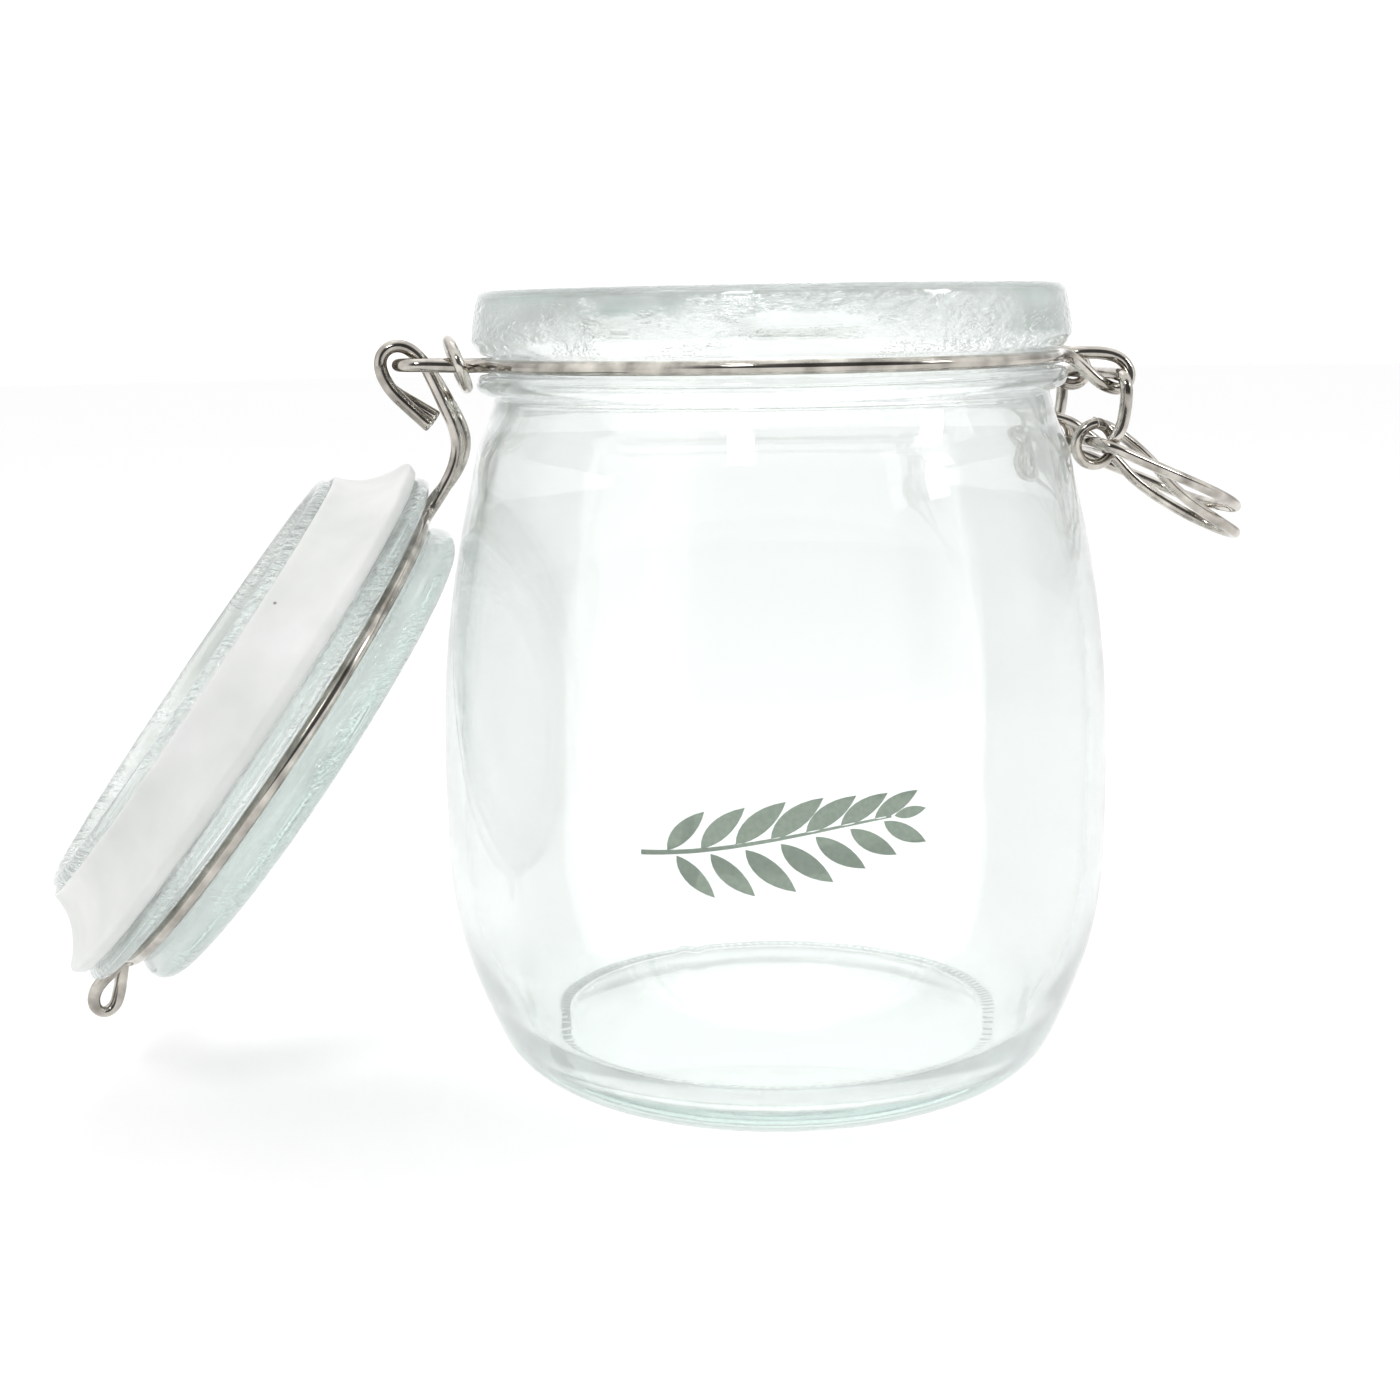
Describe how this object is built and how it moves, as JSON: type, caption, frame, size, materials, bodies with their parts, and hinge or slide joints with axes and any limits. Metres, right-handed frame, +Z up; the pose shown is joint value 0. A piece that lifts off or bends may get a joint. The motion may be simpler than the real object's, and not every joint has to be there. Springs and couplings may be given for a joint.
{
  "type": "bail clamp jar",
  "caption": "Clip-top storage jar: round glass jar, hinged glass lid with silicone seal, and bent-wire bail with an over-centre toggle latch.",
  "frame": {"origin": "centre of the open jar's footprint, on the surface it stands on; the jar's own axis is 18.4 mm from it towards +X", "axes": "+X from the hinge towards the latch, +Z up along the jar's axis, +Y across; the XZ plane is the plane of symmetry"},
  "size_m": [0.2068, 0.1142, 0.1323],
  "materials": {
    "jar_glass": "clear soda-lime glass, pressed and blown, pale aqua in the thick edges",
    "lid_glass": "clear pressed soda-lime glass, pale aqua in the thick edges",
    "seal_silicone": "milky translucent moulded silicone, satin",
    "bail_wire": "bright drawn stainless wire",
    "latch_wire": "bright drawn stainless wire"
  },
  "bodies": {
    "jar": {"glass_jar": "jar_glass", "neck_wire": "bail_wire", "binding_ring": "bail_wire"},
    "lid": {"glass_lid": "lid_glass", "gasket": "seal_silicone", "lid_wire": "bail_wire"},
    "latch_link": {"link": "latch_wire"},
    "latch_lever": {"lever": "latch_wire"},
    "latch_catch": {"catch_loop": "latch_wire"}
  },
  "joints": [
    {"name": "lid_hinge", "type": "hinge", "parent": "jar", "child": "lid", "pos_m": [-0.0437, 0, 0.121], "axis": [0, 1, 0], "range_deg": [0, 233.5]},
    {"name": "link_swing", "type": "hinge", "parent": "jar", "child": "latch_link", "pos_m": [0.0757, 0, 0.1169], "axis": [0, -1, 0], "range_deg": [0, 20]},
    {"name": "lever_pivot", "type": "hinge", "parent": "latch_link", "child": "latch_lever", "pos_m": [0.0734, 0, 0.1049], "axis": [0, -1, 0], "range_deg": [-30, 35]},
    {"name": "catch_pivot", "type": "hinge", "parent": "latch_lever", "child": "latch_catch", "pos_m": [0.0709, 0, 0.1059], "axis": [0, -1, 0], "range_deg": [0, 40]}
  ]
}
